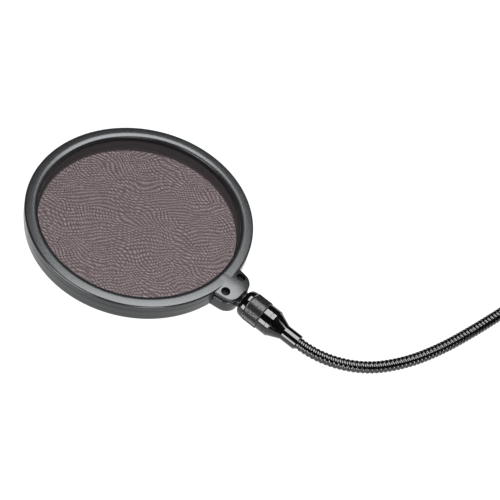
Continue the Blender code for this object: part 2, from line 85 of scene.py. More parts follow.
# Hoop, in its own frame: X towards the stud, Z out of the front
HOOP_CENTRE = Vector(JOINTS["hoop_swivel"]["pos_m"])
TO_STUD = -Vector(JOINTS["hoop_swivel"]["axis"])
HOOP_R = 76.4 * MM
HOOP_FRONT_Z = 7.9 * MM
HOOP_REAR_Z = -7.2 * MM
OPENING_EDGE_Z = 6.2 * MM  # where the front face starts to rise, at the opening
SCREEN_FACE_Z = 4.2 * MM
FRONT_OPENING_R = 67.75 * MM
REAR_OPENING_R = 67.1 * MM
REAR_SHELL_R = 76.0 * MM
WALL = 2.4 * MM
PARTING_Z = -1.0 * MM
REGISTER_R = HOOP_R - WALL - 0.4 * MM
REGISTER_T = 1.7 * MM
REGISTER_TOP = 1.5 * MM
CROWN_R = 71.2 * MM
CROWN_STEPS = 18
WALL_LINE_Z = 3.6 * MM  # a fine step around the outer wall
SCREEN_R = 71.0 * MM
SCREEN_Z = 3.7 * MM
SCREEN_WAVE = 0.06 * MM
SPACER_INNER_R = 68.3 * MM
SPACER_TOP = 3.2 * MM
HOOP_STEPS = 480
OUTER_EDGE = 1.4 * MM
REAR_EDGE = 2.0 * MM
WALL_LINE_DEPTH = 0.4 * MM
WALL_LINE_WIDTH = 0.25 * MM
WALL_LINE_EDGE = 0.05 * MM
PARTING_EDGE = 0.15 * MM
SCREEN_RINGS = 60
SCREEN_STEPS = 240
SCREEN_WAVE_RATES = (95.0, 120.0, 210.0)  # radians per metre along X, along Y and diagonally
SCREEN_WAVE_SHIFT = 900.0  # radians per metre of height, so that the two screens differ

BOSS_END = 88.6 * MM
BOSS_ROOT = 74.3 * MM
BOSS_ROOT_HALF_WIDTH = 13.4 * MM
BOSS_END_HALF_WIDTH = 11.4 * MM
BOSS_CORNER_R = 8.2 * MM
BOSS_PLATE_LOW = 2.95 * MM
BOSS_PLATE_START = 69.6 * MM
BOSS_PLATE_CROWN = 7.95 * MM
BOSS_PLATE_FLAT = (72.0 * MM, 78.0 * MM)  # where the middle line is level
BOSS_PLATE_RISE = 0.1 * MM  # from the start to the level stretch
BOSS_PLATE_FALL = 1.9 * MM  # from the level stretch to the end
BOSS_PLATE_SIDE_FALL = 1.3 * MM  # from the middle to the sides
BOSS_LIP = 1.1 * MM
BOSS_LIP_STEP = 0.1 * MM
BOSS_PLATE_EDGE = 0.5 * MM
BOSS_PLATE_EDGE_STEPS = 6
BOSS_PLATE_POINTS = 320
BOSS_PLATE_RINGS = 16
BOSS_CORNER_STEPS = 16
BOSS_UNDERCUT = 0.8 * MM
BOSS_SPLIT = 2.6 * MM
BOSS_BLOCK_EXTRA = 0.5 * MM
BOSS_BLOCK_EDGE = 1.1 * MM
BOSS_BLOCK_START = REGISTER_R - REGISTER_T + 0.05 * MM
BOSS_BLOCK_CLEAR_R = HOOP_R + 0.4 * MM  # the block stays outside this beside the front shell
SCREW_P = 79.9 * MM
SCREW_Q = 8.05 * MM
SCREW_HEAD_R = 2.75 * MM
SCREW_HOLE_R = 1.85 * MM
SCREW_HEAD_LOW = 4.05 * MM
SCREW_HEAD_TOP = 4.95 * MM
SCREW_END = -5.0 * MM
SCREW_SEAT = 3.75 * MM
SCREW_SHANK_R = 1.5 * MM
SCREW_LOBES = 6
SCREW_LOBE_R = 2.5 * MM
SCREW_LOBE_DEPTH = 0.6 * MM
SCREW_SOCKET_LOW = SCREW_HEAD_LOW + 0.15 * MM
TONGUE_START = 77.3 * MM
TONGUE_NECK_START = 82.9 * MM
TONGUE_NECK_END = 90.4 * MM  # inside the threaded part
TONGUE_HALF_WIDTH = 10.6 * MM
TONGUE_NECK_HALF_WIDTH = 5.5 * MM
TONGUE_HALF_T = 2.3 * MM

# The arm's ends
STUD_R = 6.0 * MM
STUD_PITCH = 1.25 * MM
THREAD_DEPTH = 0.62 * MM
# One turn of a thread: crest, flank, root and flank, as shares of the pitch and of the depth
THREAD_SHAPE = ((0.0, 0.0), (0.1, 0.0), (0.42, 1.0), (0.58, 1.0), (0.9, 0.0))
THREAD_COLUMNS = 64
THREAD_RUNOUT = 0.9  # share of the depth that the crests drop by at the ends
THREAD_SHARP = 28.0
NECK = 2.4 * MM
STUD_BEYOND_NUT = 10.4 * MM
NUT_R = 9.9 * MM
NUT_NOSE_R = 6.8 * MM
NUT_SHOULDER_R = 9.65 * MM
NUT_LENGTH = 16.6 * MM
NUT_SHOULDER = 5.2 * MM
NUT_BORE_R = 6.3 * MM
NUT_BORE_CHAMFER = 0.4 * MM
NUT_MOUTH = (0.3 * MM, 0.1 * MM)  # the bore's flare at the nose: its depth and its width
NUT_FACE_R = NUT_R - 0.75 * MM
NUT_FACE_EDGE_R = NUT_R - 0.6 * MM
NUT_FACE_EDGE = 0.05 * MM
NUT_STEP = 0.15 * MM  # from the knurl up to the shoulder
NUT_STEP_HEIGHT = 0.2 * MM
NUT_NOSE_STEPS = 18
NUT_NOSE_POWER = 2.3
NUT_SHARP = 32.0
KNURLS = 54
KNURL_DEPTH = 0.42 * MM
KNURL_STEPS = 6
KNURL_MARGIN = 0.35 * MM
KNURL_FLAT = 0.18  # share of the way from a point to a groove that stays level
KNURL_FADE = 0.25 * MM  # how far the knurl sinks at its ends
KNURL_FADE_START = 0.4  # rows by which the fade has begun at the first and last row
KNURL_FADE_ROWS = 2
FITTING_R = 9.4 * MM
FITTING_LENGTH = 27.9 * MM
FERRULE_R = 5.2 * MM
FERRULE_LENGTH = 11.0 * MM
CONE_END = 19.3 * MM
CONE_END_R = 8.75 * MM
LAND_START = 20.0 * MM
FITTING_GROOVE = (22.55 * MM, 22.95 * MM)
FITTING_GROOVE_R = 9.05 * MM
FITTING_GROOVE_SLOPE = 0.05 * MM
FITTING_STEPS = 160
FITTING_THREAD_ROOM = 0.4 * MM  # between the stud's end and the bottom of its hole
FERRULE_BORE_R = 4.4 * MM
FERRULE_BORE_DEPTH = 11.9 * MM

# Gooseneck
GOOSENECK_R = 4.1 * MM
SEGMENT = 30.0 * MM
SEGMENT_BENDS = (0.0, 0.0, 0.0, 0.0, 0.5, 1.0, 2.2, 6.7, 13.2, 25.6, 28.6)
ARM_LENGTH = SEGMENT * len(SEGMENT_BENDS)
INSERTED = 9.0 * MM
RIB_PITCH = 3.0 * MM
RIB_ROWS = 14
RIB_COLUMNS = 40
WIRE_R = 1.6 * MM
WIRE_HALF_WIDTH = 1.08 * MM
WEDGE_DROP = 0.4 * MM
WEDGE_SLOPE = 0.45
RIB_START = 200.0  # degrees around the arm at which the helix starts
RIB_SHARP = 50.0
BLEND_REACH = 12.0 * MM

# Clamp
FRAME_HALF_Z = 10.0 * MM
THROAT_X = (-24.0 * MM, 16.0 * MM)
THROAT_TOP = 17.0 * MM
FRAME_LOW_Y = -14.0 * MM
JAW_T = 6.5 * MM
SPINE_T = 7.0 * MM
FRAME_CORNER_R = 6.0 * MM
THROAT_CORNER_R = 4.0 * MM
FRAME_END_R = 1.5 * MM
FRAME_EDGE = 0.9 * MM
FRAME_EDGE_STEPS = 4
FRAME_SHARP = 60.0
CLAMP_HOLE_R = 4.3 * MM
STUD_SHANK_R = 4.0 * MM
VEE_APEX_X = 12.6 * MM
VEE_FACE_X = 9.0 * MM
VEE_PAD_HALF_Y = 11.0 * MM
VEE_PAD_HALF_Z = 9.5 * MM
VEE_HALF_ANGLE = 60.0
VEE_RIBS = 5
VEE_RIB_DEPTH = 0.18 * MM
VEE_POINTS = 420
PAD_R = 9.0 * MM
PAD_T = 3.2 * MM
PAD_RIM = 1.6 * MM
PAD_HUB_R = 5.3 * MM
PAD_SOCKET_R = 3.3 * MM
PAD_SOCKET_DEPTH = 2.3 * MM
PAD_BACK_X = -17.0 * MM
FACING_X = -12.0 * MM
FACING_R = 8.4 * MM
FACING_T = 1.5 * MM
FACING_GROOVES = (2.2 * MM, 4.4 * MM, 6.6 * MM)  # their radii
FACING_GROOVE_DEPTH = 0.4 * MM
FACING_GROOVE_MOUTH = 0.35 * MM  # half its width at the face
FACING_GROOVE_FLOOR = 0.2 * MM  # half its width at the bottom
CLAMP_SCREW_R = 4.0 * MM
CLAMP_SCREW_PITCH = 2.0 * MM
CLAMP_SCREW_THREAD = 0.9 * MM
SCREW_SHOULDER_X = -17.3 * MM
SCREW_OUTER_END = -72.0 * MM
TIP_R = 3.0 * MM
TIP_LENGTH = 2.0 * MM
KNOB_X = (-76.0 * MM, -59.0 * MM)
KNOB_R = 15.0 * MM
KNOB_LOBES = 7
KNOB_LOBE_DEPTH = 1.6 * MM
KNOB_EDGE = 1.5 * MM
KNOB_POINTS = 420
KNOB_HUB_R = 8.0 * MM
KNOB_HUB_STEP = 4.0 * MM
KNOB_DISH_R = 9.0 * MM
KNOB_DISH_DEPTH = 0.9 * MM
FERRULE_X = THROAT_X[1] + JAW_T + NECK + NUT_LENGTH + GAP + FITTING_LENGTH

# Weave
FRONT_PITCHES = (0.42 * MM, 0.42 * MM)
FRONT_TURNS = (-30.0, 60.0)  # of the threads both ways, in degrees
REAR_PITCHES = (0.42 * MM, 0.38 * MM)
REAR_TURNS = (-40.0, 51.0)
THREAD_COVER = (0.41, 0.63)  # of the pitch
STRAY_SCALE = 32.0  # per metre
STRAY = 3.2 * MM
THREAD_COLOUR = (0.005, 0.0025, 0.003)
THREAD_CLEAR = (0.153, 0.104, 0.109)  # shares of red, green and blue that pass a thread

# Camera, lights and floor
CAMERA_ELEVATION = 50.48
CAMERA_AZIMUTH = 35.07
CAMERA_ROLL = 19.34
CAMERA_DISTANCE = 800 * MM
AIM_Z = 6.6 * MM  # height of the aimed point, on the hoop's axis
AIM_RIGHT = -72.48 * MM  # how far right of the picture's middle that point lies
AIM_DOWN = -24.33 * MM  # and how far below it
LENS = 86.71
SENSOR = 36.0
CLIP = (0.01, 50)
ROOM_COLOUR = (0.02, 0.02, 0.022)
FLOOR_COLOUR = (0.1, 0.1, 0.1)
FLOOR_R = 6.0
FLOOR_MIDDLE = (0.2, -0.1)
FLOOR_Z = -0.35
FLOOR_GLOW = 0.95  # so that the floor looks white, like the surround
LIT_POINT = HOOP_CENTRE + TO_STUD * 110 * MM
SOFTBOX_DISTANCE = 1.0
SOFTBOX_RADIANCE = 11.0


# ---- meshes


def finish_mesh(name, work, sharp=SHARP):
    """Welds a bmesh, turns its faces outwards and makes a piece of it, with sharp edges."""
    bmesh.ops.remove_doubles(work, verts=work.verts, dist=WELD)
    bmesh.ops.dissolve_degenerate(work, edges=work.edges, dist=SLIVER)
    bmesh.ops.recalc_face_normals(work, faces=work.faces)
    mesh = bpy.data.meshes.new(name)
    work.to_mesh(mesh)
    work.free()
    mesh.shade_smooth()
    mesh.set_sharp_from_angle(angle=radians(sharp))
    made = bpy.data.objects.new(name, mesh)
    bpy.context.scene.collection.objects.link(made)
    return made


def grid(name, points, place=None, loop_rows=False, loop_columns=True, sharp=SHARP):
    """A surface through rows of points."""
    rows, columns = points.shape[:2]
    flat = points.reshape(-1, 3)
    if place is not None:
        turn = np.array(place.to_3x3())
        flat = flat @ turn.T + np.array(place.translation)
    work = bmesh.new()
    corners = [work.verts.new(p) for p in flat]
    for i in range(rows if loop_rows else rows - 1):
        below = (i + 1) % rows
        for j in range(columns if loop_columns else columns - 1):
            beside = (j + 1) % columns
            work.faces.new(
                (
                    corners[i * columns + j],
                    corners[i * columns + beside],
                    corners[below * columns + beside],
                    corners[below * columns + j],
                )
            )
    return finish_mesh(name, work, sharp)


def revolved(profile, steps):
    """Rows of points around the X axis, from (along, radius) points."""
    angle = np.arange(steps) * 2 * pi / steps
    along, radius = np.array(profile).T
    return np.stack(
        [
            np.repeat(along[:, None], steps, axis=1),
            radius[:, None] * np.cos(angle),
            radius[:, None] * np.sin(angle),
        ],
        axis=-1,
    )


def turned(name, corners, steps, place, closed=False, arc_points=6):
    """A turned piece, from its profile's corners (along, radius, fillet)."""
    outline = rounded(corners, arc_points)
    return grid(name, revolved([tuple(p) for p in outline], steps), place, loop_rows=closed)


def rounded(corners, arc_points=6):
    """An outline whose corners (x, y, fillet) are rounded with arcs."""
    outline = []
    count = len(corners)
    for n, (x, y, radius) in enumerate(corners):
        here = Vector((x, y))
        if radius == 0:
            outline.append(here)
            continue
        before = (Vector(corners[n - 1][:2]) - here).normalized()
        after = (Vector(corners[(n + 1) % count][:2]) - here).normalized()
        half = before.angle(after) / 2
        start = here + before * (radius / tan(half))
        middle = here + (before + after).normalized() * (radius / sin(half))
        spoke = start - middle
        sweep = pi - 2 * half
        if before.x * after.y - before.y * after.x > 0:
            sweep = -sweep
        for k in range(arc_points + 1):
            swung = spoke.copy()
            swung.rotate(Matrix.Rotation(sweep * k / arc_points, 2))
            outline.append(middle + swung)
    return outline


def resampled(outline, count):
    """A closed outline again, as evenly spaced points."""
    points = np.array([tuple(p) for p in outline] + [tuple(outline[0])])
    along = np.concatenate([[0], np.cumsum(np.hypot(*np.diff(points, axis=0).T))])
    at = np.linspace(0, along[-1], count, endpoint=False)
    return np.stack([np.interp(at, along, points[:, k]) for k in range(2)], axis=1)


def inset(outline, distance):
    """A closed outline of evenly spaced points, moved inwards."""
    ahead = np.roll(outline, -1, axis=0) - np.roll(outline, 1, axis=0)
    normal = np.stack([-ahead[:, 1], ahead[:, 0]], axis=1)
    normal /= np.linalg.norm(normal, axis=1)[:, None]
    centre = outline.mean(axis=0)
    if ((centre - outline) * normal).sum() < 0:
        normal = -normal
    return outline + normal * distance


def extruded(name, outline, low, high, place, edge=0.5 * MM, count=240, steps=4):
    """A flat outline's solid between two heights, with rounded rims."""
    loop = resampled(outline, count)
    centre = loop.mean(axis=0)
    rows = [np.column_stack([np.tile(centre, (count, 1)), np.full(count, low)])]
    turns = [radians(90) * k / steps for k in range(steps + 1)]
    for t in turns:
        ring = inset(loop, edge * (1 - sin(t)))
        rows.append(np.column_stack([ring, np.full(count, low + edge * (1 - cos(t)))]))
    for t in reversed(turns):
        ring = inset(loop, edge * (1 - sin(t)))
        rows.append(np.column_stack([ring, np.full(count, high - edge * (1 - cos(t)))]))
    rows.append(np.column_stack([np.tile(centre, (count, 1)), np.full(count, high)]))
    return grid(name, np.array(rows), place)


def carve(part, other, operation):
    """Joins or cuts a piece with another, which is used up."""
    modifier = part.modifiers.new("carve", "BOOLEAN")
    modifier.operation = operation
    modifier.solver = "MANIFOLD"
    modifier.object = other
    shown = part.evaluated_get(bpy.context.evaluated_depsgraph_get())
    mesh = bpy.data.meshes.new_from_object(shown)
    part.modifiers.clear()
    part.data = mesh
    mesh.shade_smooth()
    mesh.set_sharp_from_angle(angle=radians(CARVED_SHARP))
    bpy.data.objects.remove(other)
    return part


def bored(part, place, radius, low, high):
    """Cuts a round hole along place's X axis."""
    corners = [(low, 0, 0), (low, radius, 0), (high, radius, 0), (high, 0, 0)]
    return carve(part, turned("bore", corners, ROUND_STEPS, place), "DIFFERENCE")


def axis_frame(origin, direction):
    """A matrix at origin whose X axis is a level direction and whose Z axis is up."""
    side = UP.cross(direction)
    return Matrix(
        (
            (direction.x, side.x, 0, origin.x),
            (direction.y, side.y, 0, origin.y),
            (0, 0, 1, origin.z),
            (0, 0, 0, 1),
        )
    )


def upright(place):
    """The same place with its X axis up, for shapes turned about the vertical."""
    return place @ Matrix.Rotation(radians(-90), 4, "Y")


def dress(piece, body, look, slot, *nodes):
    """Gives a piece its material and its place among the CAD bodies."""
    piece.data.materials.clear()
    piece.data.materials.append(look)
    if body:
        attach(piece, body)
    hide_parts(*nodes)
    return piece


# ---- materials


class Look:
    """A material, made one node at a time."""

    def __init__(self, name, colour, roughness):
        self.material = bpy.data.materials.new(name)
        self.material.use_nodes = True
        self.tree = self.material.node_tree
        self.shader = self.tree.nodes["Principled BSDF"]
        self.place = self.tree.nodes.new("ShaderNodeTexCoord").outputs["Object"]
        self.colour = colour
        self.set("Base Color", (*colour, 1))
        self.set("Roughness", roughness)

    def set(self, socket, value):
        self.shader.inputs[socket].default_value = value

    def give(self, socket, value):
        """Links or sets one of a node's sockets."""
        if isinstance(value, bpy.types.NodeSocket):
            self.tree.links.new(value, socket)
        else:
            socket.default_value = value

    def node(self, kind, *inputs, **settings):
        made = self.tree.nodes.new(kind)
        for name, value in settings.items():
            setattr(made, name, value)
        for n, value in enumerate(inputs):
            if value is not None:
                self.give(made.inputs[n], value)
        return made

    def math(self, operation, a, b=0.5, c=0.5):
        return self.node("ShaderNodeMath", a, b, c, operation=operation).outputs[0]

    def noise(self, scale, detail=2.0, roughness=0.5, at=None):
        made = self.node("ShaderNodeTexNoise")
        self.give(made.inputs["Vector"], at or self.place)
        self.give(made.inputs["Scale"], scale)
        self.give(made.inputs["Detail"], detail)
        self.give(made.inputs["Roughness"], roughness)
        return made.outputs["Fac"]

    def between(self, value, low, high):
        """A value from 0 to 1, spread between two others."""
        made = self.node("ShaderNodeMapRange")
        self.give(made.inputs["Value"], value)
        self.give(made.inputs["To Min"], low)
        self.give(made.inputs["To Max"], high)
        return made.outputs["Result"]

    def tint(self, value, dark, light):
        """The base colour, multiplied by dark to light as value goes from 0 to 1."""
        made = self.node("ShaderNodeMix", data_type="RGBA")
        self.give(made.inputs["Factor"], value)
        self.give(made.inputs["A"], (*(c * dark for c in self.colour), 1))
        self.give(made.inputs["B"], (*(c * light for c in self.colour), 1))
        self.give(self.shader.inputs["Base Color"], made.outputs["Result"])

    def rough(self, value, low, high):
        self.give(self.shader.inputs["Roughness"], self.between(value, low, high))

    def bump(self, height, depth):
        made = self.node("ShaderNodeBump")
        self.give(made.inputs["Strength"], 1.0)
        self.give(made.inputs["Distance"], depth)
        self.give(made.inputs["Height"], height)
        self.give(self.shader.inputs["Normal"], made.outputs["Normal"])


def moulded_plastic(name, colour, grain=2600.0, low=0.2, high=0.32, shine=0.5):
    """Satin plastic with a fine spark-eroded grain."""
    look = Look(name, colour, low)
    look.set("Specular Tint", (0.95, 0.985, 1.0, 1))
    look.set("Specular IOR Level", shine)
    fine = look.noise(grain, 3.0, 0.6)
    broad = look.noise(90.0, 3.0, 0.55)
    look.tint(broad, 0.86, 1.14)
    look.rough(look.math("MULTIPLY_ADD", fine, 0.6, look.math("MULTIPLY", broad, 0.4)), low, high)
    look.bump(fine, 0.01 * MM)
    return look.material


def coated_metal(name, colour, low, high, ior=1.5):
    """Painted or plated metal: a smooth coat with faint waviness and rubbed spots."""
    look = Look(name, colour, low)
    look.set("IOR", ior)
    spots = look.noise(420.0, 4.0, 0.6)
    look.tint(spots, 0.7, 1.3)
    look.rough(spots, low, high)
    look.bump(look.noise(700.0, 2.0), 0.004 * MM)
    return look.material


def knurled_lacquer(name, colour):
    """Black lacquer that is glossy where smooth and rubbed dull on the knurl's points, where its
    colour is also lightened as a painted sheen.
    """
    look = Look(name, colour, 0.1)
    look.set("IOR", 1.55)
    knurl = look.node("ShaderNodeAttribute", attribute_name="knurl").outputs["Fac"]
    dust = look.noise(1500.0, 3.0, 0.6)
    worn_and_sheen = look.math("MULTIPLY", knurl, look.between(dust, 0.5, 1.0))
    look.rough(worn_and_sheen, 0.08, 0.26)
    # Painted sheen: the knurled band's colour is lightened up to twelvefold, standing in for the
    # glints of its facets.
    look.tint(worn_and_sheen, 1.0, 12.0)
    look.bump(look.noise(700.0, 2.0), 0.003 * MM)
    return look.material


def cast_paint(name, colour):
    """Powder coat over a casting: a soft pebbled surface."""
    look = Look(name, colour, 0.5)
    pebbles = look.noise(1500.0, 2.0, 0.4)
    broad = look.noise(160.0, 3.0)
    look.tint(broad, 0.8, 1.25)
    look.rough(pebbles, 0.38, 0.6)
    look.bump(pebbles, 0.05 * MM)
    return look.material


def rubber(name, colour):
    """Dull rubber with a dusty bloom."""
    look = Look(name, colour, 0.8)
    look.set("Specular IOR Level", 0.3)
    dust = look.noise(260.0, 5.0, 0.7)
    look.tint(dust, 0.75, 1.5)
    look.rough(dust, 0.7, 0.95)
    look.bump(look.noise(3200.0, 2.0), 0.02 * MM)
    return look.material


def woven_nylon(name, pitches, turns, seed):
    """Sheer nylon: threads both ways that let a little tinted light through, and open squares."""
    most_clear = max(THREAD_CLEAR)
    look = Look(name, THREAD_COLOUR, 0.6)
    look.set("Specular IOR Level", 0.2)
    spacing = []
    for n, (pitch, turn) in enumerate(zip(pitches, turns)):
        along = (cos(radians(turn)), sin(radians(turn)), 0)
        at = look.node("ShaderNodeVectorMath", look.place, along, operation="DOT_PRODUCT")
        moved = look.node(
            "ShaderNodeVectorMath", look.place, (seed, n + 2 * seed, 0), operation="ADD"
        )
        drift = look.noise(STRAY_SCALE, 2.0, 0.36, moved.outputs[0])
        stray = look.math("MULTIPLY_ADD", drift, STRAY, at.outputs["Value"])
        phase = look.math("FRACT", look.math("DIVIDE", stray, pitch))
        spacing.append(look.math("ABSOLUTE", look.math("SUBTRACT", phase, 0.5)))
    uneven = look.between(look.noise(230.0, 3.0, 0.6), *(c / 2 for c in THREAD_COVER))
    thread = look.math("LESS_THAN", look.math("MINIMUM", *spacing), uneven)
    look.tint(look.noise(900.0, 2.0), 0.6, 1.4)
    passed = look.node("ShaderNodeMix", data_type="RGBA")
    look.give(passed.inputs["Factor"], thread)
    look.give(passed.inputs["A"], (1, 1, 1, 1))
    look.give(passed.inputs["B"], (*(c / most_clear for c in THREAD_CLEAR), 1))
    through = look.node("ShaderNodeBsdfTransparent", passed.outputs["Result"])
    seen = look.math("MULTIPLY", thread, 1 - most_clear)
    mixed = look.node("ShaderNodeMixShader", seen, through.outputs[0], look.shader.outputs[0])
    output = look.tree.nodes["Material Output"]
    look.give(output.inputs["Surface"], mixed.outputs[0])
    return look.material


# ---- hoop


def front_shell(hoop):
    width, height = CROWN_R - FRONT_OPENING_R, HOOP_FRONT_Z - OPENING_EDGE_Z
    profile = [(SCREEN_FACE_Z, FRONT_OPENING_R)]
    for k in range(CROWN_STEPS + 1):
        t = radians(90) * k / CROWN_STEPS
        profile.append((OPENING_EDGE_Z + height * sin(t), CROWN_R - width * cos(t)))
    edge = [
        (HOOP_FRONT_Z, CROWN_R, 0),
        (HOOP_FRONT_Z, HOOP_R, OUTER_EDGE),
        (WALL_LINE_Z, HOOP_R, WALL_LINE_EDGE),
        (WALL_LINE_Z, HOOP_R - WALL_LINE_DEPTH, 0),
        (WALL_LINE_Z - WALL_LINE_WIDTH, HOOP_R - WALL_LINE_DEPTH, 0),
        (WALL_LINE_Z - WALL_LINE_WIDTH, HOOP_R, WALL_LINE_EDGE),
        (PARTING_Z, HOOP_R, PARTING_EDGE),
        (PARTING_Z, HOOP_R - WALL, 0),
        (SCREEN_FACE_Z, HOOP_R - WALL, 0),
    ]
    profile += [tuple(p) for p in rounded(edge)[1:]]
    shell = grid("front_shell_moulding", revolved(profile, HOOP_STEPS), upright(hoop), True)
    carve(shell, boss_plate(hoop), "UNION")
    for side in (-1, 1):
        place = upright(hoop @ Matrix.Translation((SCREW_P, side * SCREW_Q, 0)))
        bored(shell, place, SCREW_HEAD_R + GAP, SCREW_SEAT, 2 * HOOP_FRONT_Z)
        bored(shell, place, SCREW_HOLE_R, 0, HOOP_FRONT_Z)
    return shell


def boss_outline(extra, start):
    end = BOSS_END_HALF_WIDTH + extra
    widening = (BOSS_ROOT_HALF_WIDTH - BOSS_END_HALF_WIDTH) / (BOSS_END - BOSS_ROOT)
    root = end + widening * (BOSS_END - start)
    corner = BOSS_CORNER_R + extra
    return rounded(
        [(start, -root, 0), (BOSS_END, -end, corner), (BOSS_END, end, corner), (start, root, 0)],
        BOSS_CORNER_STEPS,
    )


def plate_height(p, q):
    """The top of the boss's front plate, domed both ways."""
    first, last = BOSS_PLATE_FLAT
    before = np.clip(first - p, 0, None) / (first - BOSS_PLATE_START)
    beyond = np.clip(p - last, 0, None) / (BOSS_END - last)
    across = q / BOSS_ROOT_HALF_WIDTH
    middle = BOSS_PLATE_CROWN - BOSS_PLATE_RISE * before**2 - BOSS_PLATE_FALL * beyond**2
    return middle - BOSS_PLATE_SIDE_FALL * across**2


def boss_plate(hoop):
    """The plate, from its hollowed underside, over its lip and round edge, to the dome."""
    count = BOSS_PLATE_POINTS
    edge = BOSS_PLATE_EDGE
    loop = resampled(boss_outline(0, BOSS_PLATE_START), count)
    centre = np.array([(BOSS_ROOT + BOSS_END) / 2, 0])
    under = inset(loop, BOSS_UNDERCUT)
    rows = [np.column_stack([np.tile(centre, (count, 1)), np.full(count, BOSS_PLATE_LOW)])]
    rows.append(np.column_stack([under, np.full(count, BOSS_PLATE_LOW)]))
    for ring in (under, inset(loop, BOSS_LIP_STEP)):
        rows.append(np.column_stack([ring, plate_height(*loop.T) - BOSS_LIP]))
    rows.append(np.column_stack([loop, plate_height(*loop.T) - BOSS_LIP + BOSS_LIP_STEP]))
    for k in range(BOSS_PLATE_EDGE_STEPS + 1):
        t = radians(90) * k / BOSS_PLATE_EDGE_STEPS
        ring = inset(loop, edge * (1 - cos(t)))
        rows.append(np.column_stack([ring, plate_height(*ring.T) - edge * (1 - sin(t))]))
    for k in range(1, BOSS_PLATE_RINGS + 1):
        inner = centre + (ring - centre) * (1 - k / BOSS_PLATE_RINGS)
        rows.append(np.column_stack([inner, plate_height(*inner.T)]))
    return grid("boss_plate", np.array(rows), hoop)


def rear_shell(hoop):
    step = PARTING_Z - GAP
    corners = [
        (REGISTER_TOP, REGISTER_R, 0.2 * MM),
        (step, REGISTER_R, 0),
        (step, REAR_SHELL_R, 0.2 * MM),
        (HOOP_REAR_Z, REAR_SHELL_R, REAR_EDGE),
        (HOOP_REAR_Z, REAR_OPENING_R, 0.8 * MM),
        (-SCREEN_FACE_Z, REAR_OPENING_R, 0.2 * MM),
        (-SCREEN_FACE_Z, REGISTER_R - REGISTER_T, 0),
        (REGISTER_TOP, REGISTER_R - REGISTER_T, 0.2 * MM),
    ]
    shell = turned("rear_shell_moulding", corners, HOOP_STEPS, upright(hoop), True, 10)
    outline = boss_outline(BOSS_BLOCK_EXTRA, BOSS_BLOCK_START)
    block = extruded(
        "boss_block", outline, HOOP_REAR_Z, BOSS_SPLIT, hoop, BOSS_BLOCK_EDGE, steps=7
    )
    around_front = [
        (step, 0, 0),
        (step, BOSS_BLOCK_CLEAR_R, 0),
        (2 * HOOP_FRONT_Z, BOSS_BLOCK_CLEAR_R, 0),
        (2 * HOOP_FRONT_Z, 0, 0),
    ]
    carve(block, turned("front_room", around_front, HOOP_STEPS, upright(hoop)), "DIFFERENCE")
    carve(shell, block, "UNION")
    outline = tongue_outline(GAP, TONGUE_NECK_END)
    low = -TONGUE_HALF_T - GAP
    room = extruded("pocket", outline, low, 2 * BOSS_SPLIT, hoop, CUT_EDGE, 120, 1)
    carve(shell, room, "DIFFERENCE")
    return shell


def tongue_outline(extra, end):
    """The stud's flat tee, grown by extra, with its neck running out to end."""
    wide, narrow = TONGUE_HALF_WIDTH + extra, TONGUE_NECK_HALF_WIDTH + extra
    start, neck_start = TONGUE_START - extra, TONGUE_NECK_START + extra
    half = [(start, -wide), (neck_start, -wide), (neck_start, -narrow), (end, -narrow)]
    return [Vector(p) for p in half] + [Vector((p, -q)) for p, q in reversed(half)]


def screen(name, hoop, height):
    """A disc of taut cloth with the faintest waves in it."""
    radius = np.linspace(0, SCREEN_R, SCREEN_RINGS + 1)[:, None]
    angle = (np.arange(SCREEN_STEPS) * 2 * pi / SCREEN_STEPS)[None, :]
    x, y = radius * np.cos(angle), radius * np.sin(angle)
    fade = 1 - (radius / SCREEN_R) ** 4
    shift = height * SCREEN_WAVE_SHIFT
    along_x, along_y, diagonal = SCREEN_WAVE_RATES
    wave = np.sin(x * along_x + shift) * np.cos(y * along_y - shift)
    wave = wave + 0.5 * np.sin((x + y) * diagonal + 2 * shift)
    z = height + SCREEN_WAVE * wave * fade
    return grid(name, np.stack([x, y, z], axis=-1), hoop)


def spacer_ring(hoop):
    corners = [
        (SPACER_TOP, SCREEN_R, 0.2 * MM),
        (-SPACER_TOP, SCREEN_R, 0.2 * MM),
        (-SPACER_TOP, SPACER_INNER_R, 0.3 * MM),
        (SPACER_TOP, SPACER_INNER_R, 0.3 * MM),
    ]
    return turned("spacer_hoop", corners, HOOP_STEPS, upright(hoop), True)


def lobed_outline(radius, depth, lobes, count):
    """A round outline with as many lobes as asked."""
    return [
        Vector((r * cos(a), r * sin(a)))
        for a in (2 * pi * n / count for n in range(count))
        for r in (radius - depth * (1 - cos(lobes * a)) / 2,)
    ]


def boss_screw(name, hoop, side):
    place = hoop @ Matrix.Translation((SCREW_P, side * SCREW_Q, 0))
    corners = [
        (SCREW_HEAD_TOP, 0, 0),
        (SCREW_HEAD_TOP, SCREW_HEAD_R, 0.25 * MM),
        (SCREW_HEAD_LOW, SCREW_HEAD_R, 0.05 * MM),
        (SCREW_HEAD_LOW, SCREW_SHANK_R, 0),
        (SCREW_END, SCREW_SHANK_R, 0.3 * MM),
        (SCREW_END, 0, 0),
    ]
    screw = turned(name, corners, ROUND_STEPS, upright(place))
    outline = lobed_outline(SCREW_LOBE_R, SCREW_LOBE_DEPTH, SCREW_LOBES, DISC_STEPS)
    top = 2 * HOOP_FRONT_Z
    socket = extruded("socket", outline, SCREW_SOCKET_LOW, top, place, CUT_EDGE, DISC_STEPS, 1)
    return carve(screw, socket, "DIFFERENCE")


# ---- threads, nuts and fittings


